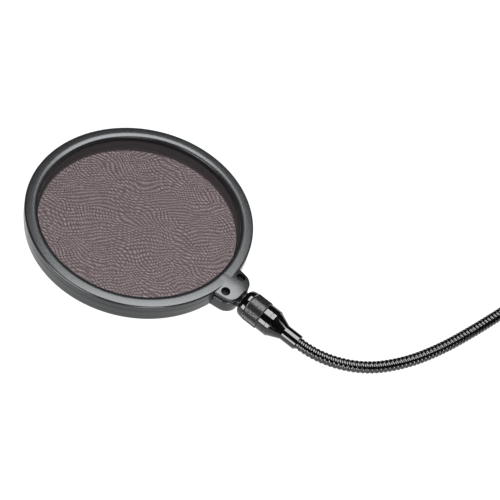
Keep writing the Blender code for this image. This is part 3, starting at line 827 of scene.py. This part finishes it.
def thread(name, radius, pitch, depth, length, place):
    """A threaded rod from the origin along X, its crests and roots following the helix."""
    share = np.arange(THREAD_COLUMNS) / THREAD_COLUMNS
    angle = 2 * pi * share
    rows = []
    for n in range(-1, int(length / pitch) + 2):
        for at, drop in THREAD_SHAPE:
            along = (n + at + share) * pitch
            near_end = np.clip(np.minimum(along, length - along) / pitch, 0, 1)
            bite = depth * drop * np.where(near_end > 0, 1, 0)
            along = np.clip(along, 0, length)
            r = radius - bite - depth * (1 - near_end) * THREAD_RUNOUT
            rows.append(np.column_stack([along, r * np.cos(angle), r * np.sin(angle)]))
    start = np.tile([0.0, 0, 0], (THREAD_COLUMNS, 1))
    end = np.tile([length, 0, 0], (THREAD_COLUMNS, 1))
    return grid(name, np.array([start, *rows, end]), place, sharp=THREAD_SHARP)


def lock_nut(name, place):
    """A nut from its flat face, with a diamond knurl and a smooth shoulder at its nose."""
    columns = KNURLS * KNURL_STEPS
    knurl_end = NUT_LENGTH - NUT_SHOULDER
    knurled = knurl_end - 2 * KNURL_MARGIN
    about_square = 2 * pi * NUT_R / columns
    count = int(knurled / about_square) // KNURL_STEPS * KNURL_STEPS
    step = knurled / count
    angle = np.arange(columns) * 2 * pi / columns
    phase = np.arange(columns) / KNURL_STEPS

    def ring(along, radius):
        return np.column_stack(
            [np.full(columns, along), radius * np.cos(angle), radius * np.sin(angle)]
        )

    rows = [
        ring(NUT_LENGTH / 2, NUT_BORE_R),
        ring(NUT_BORE_CHAMFER, NUT_BORE_R),
        ring(0, NUT_BORE_R + NUT_BORE_CHAMFER),
        ring(0, NUT_FACE_R),
        ring(NUT_FACE_EDGE, NUT_FACE_EDGE_R),
    ]
    for k in range(count + 1):
        across = k / KNURL_STEPS
        grooves = [np.abs((phase + side * across) % 1 - 0.5) * 2 for side in (-1, 1)]
        bite = np.clip(np.maximum(*grooves) - KNURL_FLAT, 0, None) / (1 - KNURL_FLAT)
        from_end = min(k, count - k) + KNURL_FADE_START
        sunk = KNURL_FADE * (1 - min(1.0, from_end / KNURL_FADE_ROWS))
        rows.append(ring(KNURL_MARGIN + k * step, NUT_R - KNURL_DEPTH * bite - sunk))
    nose_start = knurl_end + NUT_STEP
    rows.append(ring(knurl_end, NUT_SHOULDER_R - NUT_STEP_HEIGHT))
    rows.append(ring(nose_start, NUT_SHOULDER_R))
    for k in range(1, NUT_NOSE_STEPS + 1):
        share = sin(radians(90) * k / NUT_NOSE_STEPS)
        drop = 1 - (1 - share**NUT_NOSE_POWER) ** (1 / NUT_NOSE_POWER)
        along = nose_start + (NUT_SHOULDER - NUT_STEP) * share
        rows.append(ring(along, NUT_SHOULDER_R - (NUT_SHOULDER_R - NUT_NOSE_R) * drop))
    mouth_depth, mouth_width = NUT_MOUTH
    rows.append(ring(NUT_LENGTH, NUT_BORE_R + mouth_width))
    rows.append(ring(NUT_LENGTH - mouth_depth, NUT_BORE_R))
    nut = grid(name, np.array(rows), place, loop_rows=True, sharp=NUT_SHARP)
    knurl = nut.data.attributes.new("knurl", "FLOAT", "POINT")
    inside = place.inverted()
    for corner, mark in zip(nut.data.vertices, knurl.data):
        mark.value = float((inside @ corner.co).x < knurl_end)
    return nut


def end_fitting(name, place):
    """A fitting from its ferrule's mouth to its flat threaded end."""
    thread_end = FITTING_LENGTH - STUD_BEYOND_NUT - FITTING_THREAD_ROOM
    groove_start, groove_end = FITTING_GROOVE
    corners = [
        (thread_end, 0, 0),
        (thread_end, NUT_BORE_R, 0),
        (FITTING_LENGTH, NUT_BORE_R, 0.3 * MM),
        (FITTING_LENGTH, FITTING_R, 0.25 * MM),
        (groove_end, FITTING_R, 0.08 * MM),
        (groove_end - FITTING_GROOVE_SLOPE, FITTING_GROOVE_R, 0),
        (groove_start + FITTING_GROOVE_SLOPE, FITTING_GROOVE_R, 0),
        (groove_start, FITTING_R, 0.08 * MM),
        (LAND_START, FITTING_R, 0.15 * MM),
        (CONE_END, CONE_END_R, 0.15 * MM),
        (FERRULE_LENGTH, FERRULE_R, 0.5 * MM),
        (0, FERRULE_R, 0.12 * MM),
        (0, FERRULE_BORE_R, 0.1 * MM),
        (FERRULE_BORE_DEPTH, FERRULE_BORE_R, 0),
        (FERRULE_BORE_DEPTH, 0, 0),
    ]
    return turned(name, corners, FITTING_STEPS, place)


# ---- gooseneck


def arm_at(length):
    """The arm centreline's point and heading (radians), this far from the rear ferrule."""
    x, y, heading = FERRULE_X, 0.0, 0.0
    left = length
    for bend in SEGMENT_BENDS:
        run = min(left, SEGMENT)
        turned_by = -radians(bend) * run / SEGMENT
        if abs(turned_by) < 1e-9:
            x += run * cos(heading)
            y += run * sin(heading)
        else:
            radius = run / turned_by
            x += radius * (sin(heading + turned_by) - sin(heading))
            y -= radius * (cos(heading + turned_by) - cos(heading))
        heading += turned_by
        left -= run
        if left <= 0:
            break
    return x + left * cos(heading), y + left * sin(heading), heading


def rib_radius(across):
    """The winding's radius at a place across one rib, from 0 to 1: a round wire and a wedge."""
    off = abs(across - 0.5) * RIB_PITCH
    if off <= WIRE_HALF_WIDTH:
        return GOOSENECK_R - WIRE_R + (WIRE_R**2 - off**2) ** 0.5
    crest = 0.5 * RIB_PITCH - off
    return GOOSENECK_R - WEDGE_DROP - WEDGE_SLOPE * crest


def gooseneck_piece(number):
    """The winding around one of the arm's joints, whose rows follow the helix."""
    last = len(SEGMENT_BENDS) - 1
    start = -INSERTED if number == 1 else (number - 0.5) * SEGMENT
    end = ARM_LENGTH + INSERTED if number == last else (number + 0.5) * SEGMENT
    first = round(start / RIB_PITCH * RIB_ROWS)
    count = round((end - start) / RIB_PITCH * RIB_ROWS)
    share = np.arange(RIB_COLUMNS + 1) / RIB_COLUMNS
    angle = 2 * pi * share + radians(RIB_START)
    rows = []
    for n in range(count + 1):
        radius = rib_radius(((first + n) % RIB_ROWS) / RIB_ROWS)
        row = []
        for along, a in zip(((first + n) / RIB_ROWS + share) * RIB_PITCH, angle):
            x, y, heading = arm_at(max(along, 0)) if along < ARM_LENGTH else arm_at(ARM_LENGTH)
            beyond = min(along, 0) + max(along - ARM_LENGTH, 0)
            out = radius * cos(a)
            row.append(
                (
                    x + beyond * cos(heading) - out * sin(heading),
                    y + beyond * sin(heading) + out * cos(heading),
                    radius * sin(a),
                )
            )
        rows.append(row)
    return grid(f"winding_{number:02d}", np.array(rows), loop_columns=False, sharp=RIB_SHARP)


# ---- clamp


def clamp_frame():
    left, right = THROAT_X
    outer_left, outer_right = left - JAW_T, right + JAW_T
    outline = rounded(
        [
            (outer_left, FRAME_LOW_Y, FRAME_END_R),
            (left, FRAME_LOW_Y, FRAME_END_R),
            (left, THROAT_TOP, THROAT_CORNER_R),
            (right, THROAT_TOP, THROAT_CORNER_R),
            (right, FRAME_LOW_Y, FRAME_END_R),
            (outer_right, FRAME_LOW_Y, FRAME_END_R),
            (outer_right, THROAT_TOP + SPINE_T, FRAME_CORNER_R),
            (outer_left, THROAT_TOP + SPINE_T, FRAME_CORNER_R),
        ],
        10,
    )
    work = bmesh.new()
    face = work.faces.new([work.verts.new((p.x, p.y, -FRAME_HALF_Z)) for p in outline])
    pulled = bmesh.ops.extrude_face_region(work, geom=[face])
    tops = [v for v in pulled["geom"] if isinstance(v, bmesh.types.BMVert)]
    bmesh.ops.translate(work, verts=tops, vec=(0, 0, 2 * FRAME_HALF_Z))
    casting = finish_mesh("clamp_casting", work)
    bevel = casting.modifiers.new("rims", "BEVEL")
    bevel.width = FRAME_EDGE
    bevel.segments = FRAME_EDGE_STEPS
    bevel.limit_method = "ANGLE"
    bevel.angle_limit = radians(FRAME_SHARP)
    casting.data = bpy.data.meshes.new_from_object(
        casting.evaluated_get(bpy.context.evaluated_depsgraph_get())
    )
    casting.modifiers.clear()
    across = Matrix.Identity(4)
    bored(casting, across, CLAMP_HOLE_R, outer_left - JAW_T, left + JAW_T)
    bored(casting, across, CLAMP_HOLE_R, right - JAW_T, outer_right + JAW_T)
    return casting


def vee_pad():
    """The rubber block on the fixed jaw, with a vee and fine grip ribs along the tube."""
    back = THROAT_X[1] - GAP
    depth = VEE_APEX_X - VEE_FACE_X
    mouth = depth * tan(radians(VEE_HALF_ANGLE))
    outline = [
        (back, -VEE_PAD_HALF_Y, 0.4 * MM),
        (back, VEE_PAD_HALF_Y, 0.4 * MM),
        (VEE_FACE_X, VEE_PAD_HALF_Y, MM),
    ]
    slope = []
    for k in range(2 * VEE_RIBS + 1):
        share = k / (2 * VEE_RIBS)
        dip = VEE_RIB_DEPTH * (k % 2)
        slope.append((VEE_FACE_X + depth * share + dip, mouth * (1 - share), 0))
    outline += slope + [(x, -y, fillet) for x, y, fillet in reversed(slope[:-1])]
    outline.append((VEE_FACE_X, -VEE_PAD_HALF_Y, MM))
    shape = rounded(outline, 5)
    half = VEE_PAD_HALF_Z
    return extruded("vee_block", shape, -half, half, None, count=VEE_POINTS)


def pressure_pad():
    corners = [
        (PAD_T, 0, 0),
        (PAD_T, PAD_R, 0.5 * MM),
        (PAD_RIM, PAD_R, 0.3 * MM),
        (0, PAD_HUB_R, 0.4 * MM),
        (0, PAD_SOCKET_R, 0.2 * MM),
        (PAD_SOCKET_DEPTH, PAD_SOCKET_R, 0),
        (PAD_SOCKET_DEPTH, 0, 0),
    ]
    return turned("pressure_disc", corners, DISC_STEPS, Matrix.Translation((PAD_BACK_X, 0, 0)))


def pad_facing():
    """The rubber disc that touches the tube, with three grooves around it."""
    floor_x, back = FACING_X - FACING_GROOVE_DEPTH, FACING_X - FACING_T
    corners = [(FACING_X, 0, 0)]
    for r in FACING_GROOVES:
        corners += [
            (FACING_X, r - FACING_GROOVE_MOUTH, 0.05 * MM),
            (floor_x, r - FACING_GROOVE_FLOOR, 0),
            (floor_x, r + FACING_GROOVE_FLOOR, 0),
            (FACING_X, r + FACING_GROOVE_MOUTH, 0.05 * MM),
        ]
    corners += [(FACING_X, FACING_R, 0.4 * MM), (back, FACING_R, 0), (back, 0, 0)]
    return turned("rubber_facing", corners, DISC_STEPS, Matrix.Identity(4), arc_points=3)


def clamp_screw():
    """The threaded spindle, with a plain pin that turns in the pressure pad."""
    place = Matrix.Translation((SCREW_OUTER_END, 0, 0))
    length = SCREW_SHOULDER_X - SCREW_OUTER_END
    screw = thread("spindle", CLAMP_SCREW_R, CLAMP_SCREW_PITCH, CLAMP_SCREW_THREAD, length, place)
    inside, end = SCREW_SHOULDER_X - MM, SCREW_SHOULDER_X + TIP_LENGTH
    tip = [(inside, 0, 0), (inside, TIP_R, 0), (end, TIP_R, 0.3 * MM), (end, 0, 0)]
    return carve(screw, turned("pin", tip, ROUND_STEPS, Matrix.Identity(4)), "UNION")


def clamp_knob():
    """A lobed knob with a dished face and a round hub."""
    outer, inner = KNOB_X
    place = Matrix.Translation((outer, 0, 0)) @ Matrix.Rotation(radians(90), 4, "Y")
    outline = lobed_outline(KNOB_R, KNOB_LOBE_DEPTH, KNOB_LOBES, KNOB_POINTS)
    body = inner - KNOB_HUB_STEP
    knob = extruded("lobed_knob", outline, 0, body - outer, place, KNOB_EDGE, KNOB_POINTS, 6)
    start = body - MM
    hub = [(start, 0, 0), (start, KNOB_HUB_R, 0), (inner, KNOB_HUB_R, 0.5 * MM), (inner, 0, 0)]
    carve(knob, turned("hub", hub, DISC_STEPS, Matrix.Identity(4)), "UNION")
    mouth, bed = outer - MM, outer + KNOB_DISH_DEPTH
    dish = [(mouth, 0, 0), (mouth, KNOB_DISH_R, 0), (bed, KNOB_DISH_R - MM, 0.3 * MM), (bed, 0, 0)]
    carve(knob, turned("dish", dish, DISC_STEPS, Matrix.Identity(4)), "DIFFERENCE")
    return bored(knob, Matrix.Identity(4), CLAMP_HOLE_R, SCREW_OUTER_END - GAP, inner + MM)


# ---- lights, floor and camera


def softbox(name, direction, across, along, edge):
    """An area light in a direction from the lit point, with its length along edge."""
    light = bpy.data.lights.new(name, "AREA")
    light.shape = "RECTANGLE"
    light.size = along
    light.size_y = across
    light.energy = SOFTBOX_RADIANCE * pi * across * along
    lamp = bpy.data.objects.new(name, light)
    back = Vector(direction).normalized()
    side = (Vector(edge) - Vector(edge).dot(back) * back).normalized()
    turn = Matrix((side, back.cross(side), back)).transposed().to_4x4()
    lamp.matrix_world = Matrix.Translation(LIT_POINT + back * SOFTBOX_DISTANCE) @ turn
    lamp.visible_camera = False
    bpy.context.scene.collection.objects.link(lamp)


def floor():
    """A plain pale floor well below the object."""
    work = bmesh.new()
    bmesh.ops.create_circle(work, cap_ends=True, radius=FLOOR_R, segments=DISC_STEPS)
    bmesh.ops.translate(work, verts=work.verts, vec=(*FLOOR_MIDDLE, FLOOR_Z))
    plane = finish_mesh("floor", work)
    look = Look("pale_floor", FLOOR_COLOUR, 0.9)
    look.set("Emission Color", (1, 1, 1, 1))
    look.set("Emission Strength", FLOOR_GLOW)
    plane.data.materials.append(look.material)
    plane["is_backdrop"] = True


def backdrop():
    """A white surround to look at, and a dark room to be lit and mirrored by."""
    world = bpy.data.worlds.new("studio")
    bpy.context.scene.world = world
    world.use_nodes = True
    tree = world.node_tree
    room = tree.nodes["Background"]
    room.inputs["Color"].default_value = (*ROOM_COLOUR, 1)
    white = tree.nodes.new("ShaderNodeBackground")
    white.inputs["Color"].default_value = (1, 1, 1, 1)
    path = tree.nodes.new("ShaderNodeLightPath")
    mix = tree.nodes.new("ShaderNodeMixShader")
    tree.links.new(path.outputs["Is Camera Ray"], mix.inputs[0])
    tree.links.new(room.outputs[0], mix.inputs[1])
    tree.links.new(white.outputs[0], mix.inputs[2])
    tree.links.new(mix.outputs[0], tree.nodes["World Output"].inputs[0])


def camera():
    """The camera: high on the stud's side, rolled so that the arm leaves to the right."""
    data = bpy.data.cameras.new("camera")
    data.sensor_width = SENSOR
    data.lens = LENS
    data.clip_start, data.clip_end = CLIP
    made = bpy.data.objects.new("camera", data)
    elevation, azimuth = radians(CAMERA_ELEVATION), radians(CAMERA_AZIMUTH)
    roll = radians(CAMERA_ROLL)
    back = Vector((cos(elevation) * cos(azimuth), cos(elevation) * sin(azimuth), sin(elevation)))
    level = UP.cross(back).normalized()
    lifted = back.cross(level)
    right = level * cos(roll) + lifted * sin(roll)
    above = back.cross(right)
    aim = HOOP_CENTRE + UP * AIM_Z
    spot = aim + back * CAMERA_DISTANCE - right * AIM_RIGHT + above * AIM_DOWN
    turn = Matrix((right, above, back)).transposed().to_4x4()
    made.matrix_world = Matrix.Translation(spot) @ turn
    bpy.context.scene.collection.objects.link(made)
    bpy.context.scene.camera = made


# ---- the object

camera()
backdrop()
floor()
softbox("overhead", (-0.21, -0.02, 0.97), across=0.88, along=1.08, edge=TO_STUD)
softbox("side", (0.99, -0.11, 0.18), across=0.50, along=0.68, edge=TO_STUD)
softbox("front", (0.45, 0.88, 0.10), across=0.45, along=0.45, edge=UP.cross(TO_STUD))
bpy.context.scene.view_settings.view_transform = "Standard"

HOOP_PLASTIC = moulded_plastic("satin_black_plastic", (0.0060, 0.0064, 0.0070))
# The spacer inside the hoop gets a darker, reddish copy of the hoop plastic: painted shade for the
# hollow between the screens.
INNER_SHADE_COLOUR = (0.002, 0.001, 0.0012)
INNER_SHADE_PLASTIC = moulded_plastic("inner_plastic_painted_shade", INNER_SHADE_COLOUR, low=0.5, high=0.7, shine=0.15)
BLACK_STEEL = coated_metal("black_oxide", (0.002, 0.002, 0.002), 0.3, 0.45)
# The boss screws get a darker, matt black instead of the black steel: painted shade for their deep
# counterbores.
SCREW_SHADE_BLACK = rubber("screw_black_painted_shade", (0.0012, 0.0012, 0.0012))
KNURLED = knurled_lacquer("knurled_black", (0.001, 0.001, 0.0009))
GLOSS_BLACK = coated_metal("gloss_black", (0.001, 0.001, 0.0012), 0.05, 0.09, ior=1.55)
WOUND = coated_metal("wound_black", (0.0012, 0.0012, 0.0014), 0.06, 0.12, ior=1.55)
CASTING = cast_paint("powder_coat", (0.018, 0.018, 0.019))
RUBBER = rubber("black_rubber", (0.015, 0.015, 0.015))
KNOB = moulded_plastic("black_knob_plastic", (0.014, 0.014, 0.015), grain=1900.0)
FRONT_MESH = woven_nylon("front_weave", FRONT_PITCHES, FRONT_TURNS, 0.0)
REAR_MESH = woven_nylon("rear_weave", REAR_PITCHES, REAR_TURNS, 0.7)

hoop_place = axis_frame(HOOP_CENTRE, TO_STUD)
dress(front_shell(hoop_place), "hoop", HOOP_PLASTIC, "hoop_plastic", "front_shell")
dress(rear_shell(hoop_place), "hoop", HOOP_PLASTIC, "hoop_plastic", "rear_shell")
dress(spacer_ring(hoop_place), "hoop", INNER_SHADE_PLASTIC, "hoop_plastic", "spacer_ring")
for cloth, height, look, node in (
    ("front_cloth", SCREEN_Z, FRONT_MESH, "front_screen"),
    ("rear_cloth", -SCREEN_Z, REAR_MESH, "rear_screen"),
):
    disc = screen(cloth, hoop_place, height)
    dress(disc, "hoop", look, "screen_nylon", node)
for side, node in ((-1, "boss_screw_left"), (1, "boss_screw_right")):
    screw = boss_screw(node + "_lobed", hoop_place, side)
    dress(screw, "hoop", SCREW_SHADE_BLACK, "black_steel", node)

stud_place = axis_frame(HOOP_CENTRE + TO_STUD * (BOSS_END + GAP), TO_STUD)
stud_length = NECK + NUT_LENGTH + STUD_BEYOND_NUT
stud = thread("threaded_stud", STUD_R, STUD_PITCH, THREAD_DEPTH, stud_length, stud_place)
outline = tongue_outline(0.0, TONGUE_NECK_END)
half = TONGUE_HALF_T
tee = extruded("tee", outline, -half, half, hoop_place, edge=0.2 * MM, count=160, steps=2)
carve(stud, tee, "UNION")
dress(stud, "hoop", BLACK_STEEL, "black_steel", "hoop_stud")

x, y, heading = arm_at(ARM_LENGTH)
ahead = Vector((cos(heading), sin(heading), 0))
tip = Vector((x, y, 0))
nut = lock_nut("knurled_nut_front", axis_frame(tip + ahead * (FITTING_LENGTH + GAP), ahead))
dress(nut, "hoop_nut", KNURLED, "knurled_steel", "hoop_lock_nut")
fitting = end_fitting("gloss_fitting_front", axis_frame(tip, ahead))
dress(fitting, "arm_tip", GLOSS_BLACK, "gloss_black", "front_fitting")
base = Vector((FERRULE_X, 0, 0))
back_along = Vector((-1, 0, 0))
fitting = end_fitting("gloss_fitting_rear", axis_frame(base, back_along))
dress(fitting, "arm_base", GLOSS_BLACK, "gloss_black", "rear_fitting")
place = axis_frame(base + back_along * (FITTING_LENGTH + GAP), back_along)
dress(lock_nut("knurled_nut_rear", place), "arm_nut", KNURLED, "knurled_steel", "arm_lock_nut")

for number in range(1, len(SEGMENT_BENDS)):
    piece = gooseneck_piece(number)
    nodes = [f"gooseneck_{number:02d}"]
    if number == len(SEGMENT_BENDS) - 1:
        nodes.append(f"gooseneck_{number + 1:02d}")
    dress(piece, None, WOUND, "wound_steel", *nodes)
    ends = []
    for reach in (-BLEND_REACH, BLEND_REACH):
        x, y, heading = arm_at(number * SEGMENT + reach)
        ends.append((x, y, 0))
    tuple(ends[0])
    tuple(ends[1])
    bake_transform(piece)

dress(clamp_frame(), "clamp", CASTING, "painted_casting", "clamp_frame")
face = THROAT_X[1] + JAW_T + GAP
place = Matrix.Translation((face - JAW_T, 0, 0))
at_face = Matrix.Translation((face, 0, 0))
stud = thread("clamp_threaded_stud", STUD_R, STUD_PITCH, THREAD_DEPTH, stud_length, at_face)
end = JAW_T + MM
shank = [(0, 0, 0), (0, STUD_SHANK_R, 0.3 * MM), (end, STUD_SHANK_R, 0), (end, 0, 0)]
carve(stud, turned("shank", shank, ROUND_STEPS, place), "UNION")
dress(stud, "clamp", BLACK_STEEL, "black_steel", "clamp_stud")
dress(vee_pad(), "clamp", RUBBER, "pad_rubber", "jaw_pad")
dress(pressure_pad(), "clamp_pad", BLACK_STEEL, "black_steel", "pressure_pad")
dress(pad_facing(), "clamp_pad", RUBBER, "pad_rubber", "pad_facing")
dress(clamp_screw(), "clamp_handle", BLACK_STEEL, "black_steel", "clamp_screw")
dress(clamp_knob(), "clamp_handle", KNOB, "knob_plastic", "clamp_knob")

boxes = {"cad": CAD_BOX, "visual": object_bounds()}
{name: [list(corner) for corner in box] for name, box in boxes.items()}
